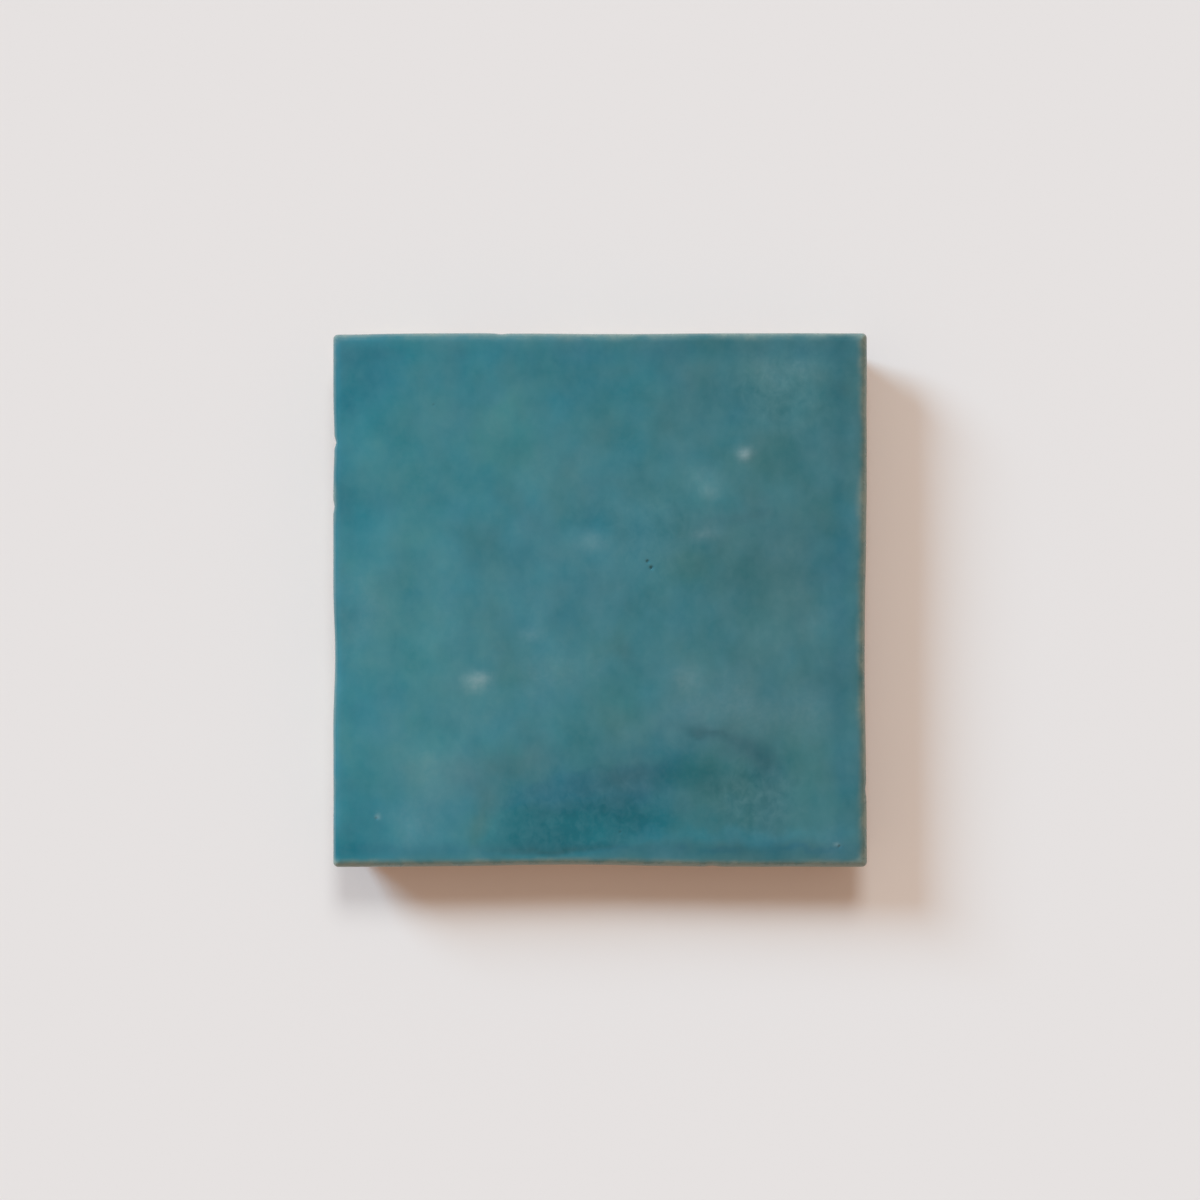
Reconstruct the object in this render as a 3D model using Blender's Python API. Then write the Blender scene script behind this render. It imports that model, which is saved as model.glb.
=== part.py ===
"""A zellige tile: one square of fired clay, glazed on its face, with hand-cut undercut sides.

Metres, +Z up out of the glazed face. The origin is the middle of the bed, the flat back of the tile.
The face is a grid whose outer lines roll over into the rim. The glazed edge, the clay sides and the
worn foot are rings extruded down from the face's boundary, and the bed closes the last ring.
"""

import math

import bmesh
import bpy

# Plan of the glazed face, over its widest line
FACE_WIDTH = 0.1000
FACE_LENGTH = 0.1000
CORNER_RADIUS = 0.0010

# Section, from the middle of the face down to the bed
THICKNESS = 0.0110
FACE_FALL = 0.0003
RIM_WIDTH = 0.0019
RIM_DROP = 0.0017
GLAZE_RUN = 0.0016
GLAZE_LIP = 0.0003
UNDERCUT = 0.0020
FOOT_WEAR = 0.0006

# Swells and hollows of the pressed face
SWELL_HEIGHT = 0.0003
SWELL_REACH = 0.0150

# Dents of the sides, which show in plan
DENT_DEPTH = 0.0004
DENT_REACH = 0.0150

# The wavy line where the glaze ends
RUN_WAVE = 0.0004
RUN_WAVE_LENGTH = 0.0210

# The uneven cut of the clay side below it
CUT_WAVE = 0.0002
CUT_WAVE_LENGTH = 0.0340

# Look of the glaze: linear colour and roughness
GLAZE_COLOUR = (0.054, 0.181, 0.212, 1.0)
GLAZE_ROUGHNESS = 0.2

# How finely the shape is divided: half the face, the rim, the clay side and the foot
FACE_CELLS = 19
RIM_CELLS = 4
SIDE_CELLS = 4
FOOT_CELLS = 2
SHARP_ANGLE = math.radians(40)

# Where the face swells and hollows: place as shares of the half face, height, and how wide it is
SWELLS = (
    (-0.45, 0.55, 0.7, 1.4),
    (0.35, 0.30, 0.8, 1.2),
    (-0.50, -0.25, 0.6, 1.0),
    (0.62, -0.30, 0.7, 1.1),
    (-0.07, -0.80, -1.0, 1.0),
    (0.10, 0.72, -0.5, 1.1),
    (-0.82, -0.80, -0.6, 0.7),
    (0.15, -0.15, -0.4, 0.9),
)

# Where each side is dented: place along it as a share of its half length, depth, and how long it is
DENTS = {
    "left": ((-0.20, 0.9, 0.5), (0.60, 0.5, 0.4)),
    "right": ((-0.20, 1.0, 1.3),),
    "back": ((0.03, 0.4, 0.9), (-0.95, 0.6, 0.5)),
    "front": ((-0.12, 1.0, 1.2),),
}

# A dent's push fades with this power of the distance from the middle, so that it stays at the side
DENT_FADE = 6


def bell(distance, reach):
    """One in the middle, falling smoothly away to nothing past its reach."""
    return math.exp(-((distance / reach) ** 2))


def grid_line(share, half):
    """Place of one line of an even grid: even over the face, closer together round the rolled rim."""
    line = abs(share) * (FACE_CELLS + RIM_CELLS)
    flat = half - RIM_WIDTH
    if line <= FACE_CELLS:
        place = flat * line / FACE_CELLS
    else:
        place = flat + RIM_WIDTH * math.sin(math.pi / 2 * (line - FACE_CELLS) / RIM_CELLS)
    return math.copysign(place, share)


def round_corner(x, y):
    """Draws a point of the square plan in, so that the plan's corners are round."""
    past_x = abs(x) - (FACE_WIDTH / 2 - CORNER_RADIUS)
    past_y = abs(y) - (FACE_LENGTH / 2 - CORNER_RADIUS)
    if past_x <= 0 or past_y <= 0:
        return x, y
    inward = 1 - max(past_x, past_y) / math.hypot(past_x, past_y)
    return x - math.copysign(past_x * inward, x), y - math.copysign(past_y * inward, y)


def side_dent(side, along, half):
    """How far a side is pushed in at a place along it."""
    return sum(
        DENT_DEPTH * depth * bell(along - half * place, DENT_REACH * length)
        for place, depth, length in DENTS[side]
    )


def push_sides(x, y):
    """Dents the sides."""
    share_x = abs(x) / (FACE_WIDTH / 2)
    share_y = abs(y) / (FACE_LENGTH / 2)
    push_x = side_dent("right" if x > 0 else "left", y, FACE_LENGTH / 2) * share_x**DENT_FADE
    push_y = side_dent("back" if y > 0 else "front", x, FACE_WIDTH / 2) * share_y**DENT_FADE
    return x - math.copysign(push_x, x), y - math.copysign(push_y, y)


def face_height(x, y):
    """Height of the glazed face without its rim: a low crown with swells and hollows."""
    share_x = x / (FACE_WIDTH / 2)
    share_y = y / (FACE_LENGTH / 2)
    crown = FACE_FALL * (share_x**2 + share_y**2) / 2
    swells = 0.0
    for place_x, place_y, height, width in SWELLS:
        distance = math.hypot(x - place_x * FACE_WIDTH / 2, y - place_y * FACE_LENGTH / 2)
        swells += SWELL_HEIGHT * height * bell(distance, SWELL_REACH * width)
    return THICKNESS - crown + swells


def rim_fall(depth):
    """How far the rolled rim has fallen at a depth in from the face's outline: a quarter ellipse."""
    outward = max(0.0, 1 - depth / RIM_WIDTH)
    return RIM_DROP * (1 - math.sqrt(1 - outward**2))


def make_face(bm):
    """The glazed face with its rolled rim, as a grid in plan that is lifted to its height."""
    cells = 2 * (FACE_CELLS + RIM_CELLS)
    bmesh.ops.create_grid(bm, x_segments=cells, y_segments=cells, size=1.0)
    for vert in bm.verts:
        x = grid_line(vert.co.x, FACE_WIDTH / 2)
        y = grid_line(vert.co.y, FACE_LENGTH / 2)
        depth = min(FACE_WIDTH / 2 - abs(x), FACE_LENGTH / 2 - abs(y))
        z = face_height(x, y) - rim_fall(depth)
        vert.co = (*push_sides(*round_corner(x, y)), z)


def add_ring(bm, ring, place):
    """Extrudes the lowest ring of edges into a new one.

    For a point of the ring, place gives how far the new one is drawn in and its height.
    """
    made = bmesh.ops.extrude_edge_only(bm, edges=ring)["geom"]
    verts = {item for item in made if isinstance(item, bmesh.types.BMVert)}
    for vert in verts:
        draw_in, height = place(vert.co)
        vert.co.x *= 1 - draw_in / (FACE_WIDTH / 2)
        vert.co.y *= 1 - draw_in / (FACE_LENGTH / 2)
        vert.co.z = height
    edges = [item for item in made if isinstance(item, bmesh.types.BMEdge)]
    return [edge for edge in edges if verts.issuperset(edge.verts)]


def glaze_end(point):
    """Height of the wavy line where the glaze ends on the side."""
    level = THICKNESS - FACE_FALL - RIM_DROP - GLAZE_RUN
    short_wave = math.sin(2 * math.pi * (point.x + point.y) / RUN_WAVE_LENGTH)
    long_wave = math.sin(2 * math.pi * (point.x - point.y) / CUT_WAVE_LENGTH)
    return level + RUN_WAVE * (short_wave + long_wave) / 2


def cut_depth(point, share):
    """How far the clay side is drawn in below the glaze, down a share of its height."""
    unevenness = math.sin(2 * math.pi * (point.x - point.y) / CUT_WAVE_LENGTH)
    return UNDERCUT * share + CUT_WAVE * unevenness * math.sin(math.pi * share)


def clay_row(row):
    """Place of one row of points of the undercut clay side."""
    share = row / SIDE_CELLS

    def place(point):
        draw_in = cut_depth(point, share) - cut_depth(point, share - 1 / SIDE_CELLS)
        return draw_in, glaze_end(point) * (1 - share) + FOOT_WEAR * share

    return place


def foot_row(row):
    """Place of one row of points round the worn edge of the foot, the last one on the bed."""
    turn = math.pi / 2 / FOOT_CELLS
    draw_in = FOOT_WEAR * (math.cos(turn * (row - 1)) - math.cos(turn * row))
    height = FOOT_WEAR * (1 - math.sin(turn * row))
    return lambda point: (draw_in, height)


def make_sides(bm):
    """The glazed edge with its lip, the undercut clay side and the worn foot. Returns the last ring."""
    ring = [edge for edge in bm.edges if edge.is_boundary]
    ring = add_ring(bm, ring, lambda point: (0.0, glaze_end(point) + GLAZE_LIP))
    ring = add_ring(bm, ring, lambda point: (GLAZE_LIP, glaze_end(point)))
    for row in range(1, SIDE_CELLS + 1):
        ring = add_ring(bm, ring, clay_row(row))
    for row in range(1, FOOT_CELLS + 1):
        ring = add_ring(bm, ring, foot_row(row))
    return ring


def glaze_material():
    """Glossy teal glaze."""
    material = bpy.data.materials.new("teal_glaze")
    material.use_nodes = True
    shader = material.node_tree.nodes["Principled BSDF"]
    shader.inputs["Base Color"].default_value = GLAZE_COLOUR
    shader.inputs["Roughness"].default_value = GLAZE_ROUGHNESS
    shader.inputs["Metallic"].default_value = 0.0
    material.diffuse_color = GLAZE_COLOUR
    return material


def make_tile():
    """The whole tile as one closed solid."""
    bm = bmesh.new()
    make_face(bm)
    bed_edges = make_sides(bm)
    bmesh.ops.contextual_create(bm, geom=bed_edges)
    bmesh.ops.recalc_face_normals(bm, faces=bm.faces)
    mesh = bpy.data.meshes.new("tile")
    bm.to_mesh(mesh)
    bm.free()
    mesh.shade_smooth()
    mesh.set_sharp_from_angle(angle=SHARP_ANGLE)
    mesh.materials.append(glaze_material())
    tile = bpy.data.objects.new("tile", mesh)
    bpy.context.scene.collection.objects.link(tile)


for old_object in list(bpy.data.objects):
    bpy.data.objects.remove(old_object)

make_tile()
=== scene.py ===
# %% [markdown]
# # A zellige tile
# The real thing is a square of clay, pressed by hand, cut with a knife and fired with a teal glaze on
# its face. It is one piece, so the scene has one piece too: a fine mesh that takes the place of the
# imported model's plain solid, with two finishes, the glaze and the bare clay. The lesson goes from the
# camera and the light to the shape, then to the colour of the glaze, and last to the two materials.

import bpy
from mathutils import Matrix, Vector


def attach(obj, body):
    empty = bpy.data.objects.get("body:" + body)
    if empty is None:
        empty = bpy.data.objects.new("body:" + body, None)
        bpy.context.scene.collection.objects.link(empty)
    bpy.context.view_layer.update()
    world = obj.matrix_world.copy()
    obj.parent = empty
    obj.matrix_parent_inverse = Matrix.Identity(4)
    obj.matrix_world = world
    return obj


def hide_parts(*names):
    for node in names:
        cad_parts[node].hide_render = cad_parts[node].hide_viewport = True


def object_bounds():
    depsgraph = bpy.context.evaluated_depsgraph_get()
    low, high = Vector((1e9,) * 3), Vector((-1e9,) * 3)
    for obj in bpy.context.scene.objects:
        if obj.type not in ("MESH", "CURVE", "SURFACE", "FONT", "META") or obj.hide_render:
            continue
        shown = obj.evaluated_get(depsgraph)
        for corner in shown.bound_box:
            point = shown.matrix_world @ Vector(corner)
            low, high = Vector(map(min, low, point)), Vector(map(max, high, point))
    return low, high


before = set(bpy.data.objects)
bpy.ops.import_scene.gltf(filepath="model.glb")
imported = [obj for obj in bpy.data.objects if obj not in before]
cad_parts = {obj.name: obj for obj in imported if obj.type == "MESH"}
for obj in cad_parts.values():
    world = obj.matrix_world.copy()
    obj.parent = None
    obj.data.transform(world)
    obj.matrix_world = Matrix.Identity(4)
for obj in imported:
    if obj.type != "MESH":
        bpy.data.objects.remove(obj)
solid_box = [list(corner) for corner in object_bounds()]

import math
from collections import namedtuple

import bmesh
import bpy
from mathutils import Vector, noise

MM = 0.001
FACE_WIDTH, FACE_LENGTH, SOLID_HEIGHT = [high - low for low, high in zip(*solid_box)]
# The face's level lies this far below the solid's top, which leaves room for swells and ripples
SWELL_ROOM = 0.27 * MM
FACE_LEVEL = SOLID_HEIGHT - SWELL_ROOM
print("solid in mm:", [[round(value / MM, 2) for value in corner] for corner in solid_box])

# %% [markdown]
# ## Camera
# The photograph looks straight down, and 536 of its 1200 pixels are the width that the tile takes here.
# So the camera stands over the tile's middle, at the height where 100 mm fill 536 pixels. A long lens
# keeps the four sides nearly out of sight, as there.

# %% Place the camera
PHOTO_PIXELS = 1200
TILE_PIXELS = 536
LENS_MM = 85

camera_data = bpy.data.cameras.new("camera")
camera_data.lens = LENS_MM
camera = bpy.data.objects.new("camera", camera_data)
bpy.context.scene.collection.objects.link(camera)
bpy.context.scene.camera = camera
frame_width = FACE_WIDTH * PHOTO_PIXELS / TILE_PIXELS
camera.location.z = FACE_LEVEL + frame_width * camera_data.lens / camera_data.sensor_width
print(f"camera {camera.location.z:.3f} m above the floor")

# %% [markdown]
# ## Floor and light
# The tile lies on a pale plastered board. Its shadow falls to the right and down, each way about one
# and a half times as far as the rim is high, and its end is soft. So a softbox stands to the upper left,
# some 25 degrees above the board. A high window past the top of the picture lights the shadow beside the
# tile, but not the one below it, which is darker and browner for some 7 mm: there only the warm light of
# the room arrives. The three are balanced so that their sum on the board is plain white, and a colour
# shows about as it is written. What a glossy surface mirrors is set apart: dim walls with paler and
# darker parts, so that the gloss shows from a low view, a paler horizon and ceiling, and the softbox,
# whose mirror image is kept mild so that it never burns out the glaze's colour.

# %% Colours are written as sRGB hex
def linear(hex_colour):
    """The linear colour that a shader works with, from an sRGB hex value."""
    def channel(text):
        value = int(text, 16) / 255
        return value / 12.92 if value <= 0.04045 else ((value + 0.055) / 1.055) ** 2.4

    return (*[channel(hex_colour[start : start + 2]) for start in (1, 3, 5)], 1.0)


# %% One function adds a node
def add(tree, kind, inputs=None, **settings):
    """Adds a node with its settings. Each input, named or numbered, takes a value or another's output."""
    node = tree.nodes.new(kind)
    for name, value in settings.items():
        setattr(node, name, value)
    for name, value in (inputs or {}).items():
        if isinstance(value, bpy.types.NodeSocket):
            tree.links.new(value, node.inputs[name])
        else:
            node.inputs[name].default_value = value
    return node


# %% The warm light of the room, which comes evenly from all around
PLASTER = "#E6E2E1"
ROOM_LIGHT = (0.51, 0.36, 0.27)

world = bpy.data.worlds.new("room")
bpy.context.scene.world = world
world.use_nodes = True
tree = world.node_tree
tree.nodes.clear()
walls = add(tree, "ShaderNodeBackground", {"Color": (*ROOM_LIGHT, 1.0), "Strength": 1.0})
print("room light:", ROOM_LIGHT)

# %% The softbox and the window, as lamps so far away that they light the whole board evenly
RIM_HEIGHT = 9.3 * MM
SOFTBOX_SHADOW = (16.0 * MM, -12.4 * MM)
SOFTBOX_SPREAD = math.radians(23)
WINDOW_SHADOW = (-0.5 * MM, -9.0 * MM)
WINDOW_SPREAD = math.radians(22)
WINDOW_LIGHT = (0.25, 0.27, 0.27)


def far_lamp(name, shadow, spread, light):
    """A distant lamp that casts the rim's shadow to a place, and gives a level board the light wanted."""
    direction = Vector((*shadow, -RIM_HEIGHT)).normalized()
    data = bpy.data.lights.new(name, "SUN")
    data.angle = spread
    data.color = [part / max(light) for part in light]
    data.energy = math.pi * max(light) / -direction.z
    lamp = bpy.data.objects.new(name, data)
    lamp.rotation_mode = "QUATERNION"
    lamp.rotation_quaternion = direction.to_track_quat("-Z", "Y")
    lamp.visible_glossy = False
    bpy.context.scene.collection.objects.link(lamp)
    print(f"{name}: {math.degrees(math.asin(-direction.z)):.0f} degrees up, strength {data.energy:.2f}")
    return -direction


softbox_light = [1 - room - window for room, window in zip(ROOM_LIGHT, WINDOW_LIGHT)]
towards_light = far_lamp("softbox", SOFTBOX_SHADOW, SOFTBOX_SPREAD, softbox_light)
far_lamp("window", WINDOW_SHADOW, WINDOW_SPREAD, WINDOW_LIGHT)

# %% What glossy things mirror: dim uneven walls, a paler horizon and ceiling, and the softbox
HORIZON_IMAGE, WALL_IMAGE, CEILING_IMAGE = 0.48, 0.32, 0.60
WALL_FOOT = (0.0, 0.35)
CEILING_EDGE = (0.50, 0.95)
ROOM_PARTS = 4.5
ROOM_UNEVEN = (0.50, 1.60)
ROOM_SPAN = (0.35, 0.65)
SOFTBOX_IMAGE = 2.3
SOFTBOX_WIDE, SOFTBOX_HIGH = 0.25, 0.16
SOFTBOX_EDGE = 0.04

towards = add(tree, "ShaderNodeTexCoord").outputs["Generated"]
height = add(tree, "ShaderNodeSeparateXYZ", {"Vector": towards}).outputs["Z"]
wall = add(
    tree, "ShaderNodeMapRange",
    {
        "Value": height, "From Min": WALL_FOOT[0], "From Max": WALL_FOOT[1],
        "To Min": HORIZON_IMAGE, "To Max": WALL_IMAGE,
    },
)
parts = add(tree, "ShaderNodeTexNoise", {"Vector": towards, "Scale": ROOM_PARTS, "Detail": 1.0})
uneven = add(
    tree, "ShaderNodeMapRange",
    {
        "Value": parts.outputs["Fac"], "From Min": ROOM_SPAN[0], "From Max": ROOM_SPAN[1],
        "To Min": ROOM_UNEVEN[0], "To Max": ROOM_UNEVEN[1],
    },
)
wall = add(tree, "ShaderNodeMath", {0: wall.outputs[0], 1: uneven.outputs[0]}, operation="MULTIPLY")
ceiling = add(
    tree, "ShaderNodeMapRange",
    {
        "Value": height, "From Min": CEILING_EDGE[0], "From Max": CEILING_EDGE[1],
        "To Min": wall.outputs[0], "To Max": CEILING_IMAGE,
    },
)
facing = add(
    tree, "ShaderNodeVectorMath", {0: towards, 1: towards_light}, operation="DOT_PRODUCT"
).outputs["Value"]
image = add(tree, "ShaderNodeMath", {0: facing, 1: 0.0}, operation="GREATER_THAN").outputs[0]
level_side = towards_light.cross(Vector((0, 0, 1))).normalized()
for axis, half in ((level_side, SOFTBOX_WIDE), (level_side.cross(towards_light), SOFTBOX_HIGH)):
    off = add(tree, "ShaderNodeVectorMath", {0: towards, 1: axis}, operation="DOT_PRODUCT").outputs["Value"]
    off = add(tree, "ShaderNodeMath", {0: off}, operation="ABSOLUTE").outputs[0]
    inside = add(
        tree, "ShaderNodeMapRange", {"Value": off, "From Min": half, "From Max": half - SOFTBOX_EDGE},
        interpolation_type="SMOOTHSTEP",
    ).outputs[0]
    image = add(tree, "ShaderNodeMath", {0: image, 1: inside}, operation="MULTIPLY").outputs[0]
strength = add(
    tree, "ShaderNodeMath", {0: image, 1: SOFTBOX_IMAGE, 2: ceiling.outputs[0]}, operation="MULTIPLY_ADD"
)
mirrored = add(tree, "ShaderNodeBackground", {"Color": linear(PLASTER), "Strength": strength.outputs[0]})

# %% What the camera sees past the board is as pale as the board
seen = add(tree, "ShaderNodeBackground", {"Color": linear(PLASTER), "Strength": 1.0})
rays = add(tree, "ShaderNodeLightPath")
room = walls
for ray, view in (("Is Glossy Ray", mirrored), ("Is Camera Ray", seen)):
    room = add(tree, "ShaderNodeMixShader", {0: rays.outputs[ray], 1: room.outputs[0], 2: view.outputs[0]})
add(tree, "ShaderNodeOutputWorld", {"Surface": room.outputs[0]})
bpy.context.scene.view_settings.view_transform = "Standard"
print("mirrored: walls", WALL_IMAGE, "horizon", HORIZON_IMAGE, "ceiling", CEILING_IMAGE)

# %% The floor
FLOOR_HALF = 6.0

floor_mesh = bpy.data.meshes.new("floor")
bm = bmesh.new()
bmesh.ops.create_grid(bm, x_segments=1, y_segments=1, size=FLOOR_HALF)
bm.to_mesh(floor_mesh)
bm.free()
floor = bpy.data.objects.new("floor", floor_mesh)
bpy.context.scene.collection.objects.link(floor)
plaster = bpy.data.materials.new("white_plaster")
plaster.use_nodes = True
plaster_shader = plaster.node_tree.nodes["Principled BSDF"]
plaster_shader.inputs["Base Color"].default_value = linear(PLASTER)
plaster_shader.inputs["Roughness"].default_value = 1.0
plaster_shader.inputs["Specular IOR Level"].default_value = 0.0
floor_mesh.materials.append(plaster)
print("floor:", 2 * FLOOR_HALF, "m square")

# %% [markdown]
# ## The block
# A maker rolls a slab, presses it flat and cuts it square. Here the slab is a cube whose edges are
# cut into many short ones, so that its skin is one closed net of quads. Every point of that net is
# then carried to its place on the tile by a few short rules. Operators make the net, so no list of
# faces is written by hand, and no seam has to be closed.

# %% Cut a cube into a fine net
FACE_LINES = 160
RIM_LINES = 9
SIDE_ROWS = 44


def fine_block():
    """A unit cube, cut into a net: many lines across, and rows down its sides."""
    bm = bmesh.new()
    bmesh.ops.create_cube(bm, size=1.0)
    lines = FACE_LINES + 2 * RIM_LINES
    for axis, cuts in ((2, SIDE_ROWS - 1), (0, lines - 1), (1, lines - 1)):
        along = [
            edge for edge in bm.edges
            if abs(edge.verts[0].co[axis] - edge.verts[1].co[axis]) > 0.5
        ]
        bmesh.ops.subdivide_edges(bm, edges=along, cuts=cuts, use_grid_fill=True)
    return bm


block = fine_block()
print("block:", len(block.verts), "points,", len(block.faces), "faces")

# %% [markdown]
# ## Plan of the tile
# Seen from above the tile is a square with small round corners, and no side is quite straight: the
# left one is pushed in below its middle, and the right and lower ones sag inwards. The knife also left
# a fine waver of a tenth of a millimetre, and a few small nicks. The net's lines are even over the face
# and closer together at the rim, where the surface turns fastest.

# %% Small helpers for soft shapes
def bell(distance, reach):
    """One in the middle, falling smoothly away to nothing past its reach."""
    return math.exp(-((distance / reach) ** 2))


def ease(value, low, high):
    """Nothing below low, one above high, and a smooth step between."""
    share = min(1.0, max(0.0, (value - low) / (high - low)))
    return share * share * (3 - 2 * share)


# %% Clouds: each kind starts at a place of its own in the noise, so that no two look alike
SEEDS = {
    "wander x": 11.3, "wander y": 27.9, "fine wander x": 5.1, "fine wander y": 8.6,
    "depth": 3.7, "warmth": 19.2, "cover": 33.0, "rim width": 2.2,
    "sag": 14.0, "skirt": 61.0, "facet": 6.4, "crumb": 12.7, "chip": 52.0,
    "bed hollow": 71.0, "bed grit": 83.0,
}
# How fast the noise's layers weaken, how much finer each is than the last, and how many there are
CLOUD_LAYERS = (0.8, 2.0, 3)


def clouds(x, y, z, size, kind):
    """Soft unevenness between about minus one and one, with lumps of the given size."""
    return noise.fractal(Vector((x / size + SEEDS[kind], y / size, z / size)), *CLOUD_LAYERS)


print(len(SEEDS), "kinds of cloud")

# %% Lines, corners, dents and nicks
CORNER_RADIUS = 1.0 * MM
RIM_WIDTH = 1.9 * MM
DENT_DEPTH = 0.4 * MM
DENT_REACH = 15 * MM
DENT_FADE = 6
WAVER_DEPTH = 0.10 * MM
WAVER_SIZE = 8 * MM
WAVER_LINES = {"left": 4, "right": 5, "back": 4, "front": 5}
WAVER_LEVEL = 0.5
NICK_FADE = 60
Dent = namedtuple("Dent", "place depth length")
DENTS = {
    "left": [Dent(-0.20, 0.9, 0.5), Dent(0.60, 0.5, 0.4)],
    "right": [Dent(-0.20, 1.0, 1.3)],
    "back": [Dent(0.03, 0.4, 0.9), Dent(-0.95, 0.6, 0.5)],
    "front": [Dent(-0.12, 1.0, 1.2)],
}
NICKS = {
    "left": [Dent(0.59, 0.9, 0.05), Dent(0.35, 0.6, 0.06)],
    "right": [Dent(-0.71, 0.5, 0.06)],
    "back": [Dent(-0.37, 0.4, 0.06)],
    "front": [Dent(0.42, 0.5, 0.07)],
}


def line_place(share, half, edge):
    """Place of a line of the net: even over the flat, closer together over the rounded edge."""
    line = abs(share) * (FACE_LINES / 2 + RIM_LINES)
    flat = half - edge
    if line <= FACE_LINES / 2:
        place = flat * line / (FACE_LINES / 2)
    else:
        place = flat + edge * math.sin(math.pi / 2 * (line - FACE_LINES / 2) / RIM_LINES)
    return math.copysign(place, share)


def round_corner(x, y, half_x, half_y):
    """Draws a point of a rectangle in, so that the rectangle's corners are round."""
    past_x = abs(x) - (half_x - CORNER_RADIUS)
    past_y = abs(y) - (half_y - CORNER_RADIUS)
    if past_x <= 0 or past_y <= 0:
        return x, y
    inward = 1 - max(past_x, past_y) / math.hypot(past_x, past_y)
    return x - math.copysign(past_x * inward, x), y - math.copysign(past_y * inward, y)


def dented(dents, along, half):
    """How deep the dents of a side are together, at a place along it."""
    return sum(dent.depth * bell(along - half * dent.place, DENT_REACH * dent.length) for dent in dents)


def side_push(side, along, half, share):
    """How far a side is pushed in at a place along it. Nicks and the waver stay close to the edge."""
    wide = dented(DENTS[side], along, half)
    small = dented(NICKS[side], along, half)
    waver = 0.5 + 0.5 * noise.noise(Vector((along / WAVER_SIZE, WAVER_LINES[side], WAVER_LEVEL)))
    at_edge = share**NICK_FADE
    return DENT_DEPTH * (wide * share**DENT_FADE + small * at_edge) + WAVER_DEPTH * waver * at_edge


def push_sides(x, y):
    """Dents the sides. The push fades out quickly towards the middle of the face."""
    push_x = side_push("right" if x > 0 else "left", y, FACE_LENGTH / 2, abs(x) / (FACE_WIDTH / 2))
    push_y = side_push("back" if y > 0 else "front", x, FACE_WIDTH / 2, abs(y) / (FACE_LENGTH / 2))
    return x - math.copysign(push_x, x), y - math.copysign(push_y, y)


left_push = push_sides(-FACE_WIDTH / 2, FACE_LENGTH / 2 * DENTS["left"][0].place)[0] + FACE_WIDTH / 2
print("the left side is pushed in by", round(left_push / MM, 2), "mm at its deepest dent")
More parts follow.
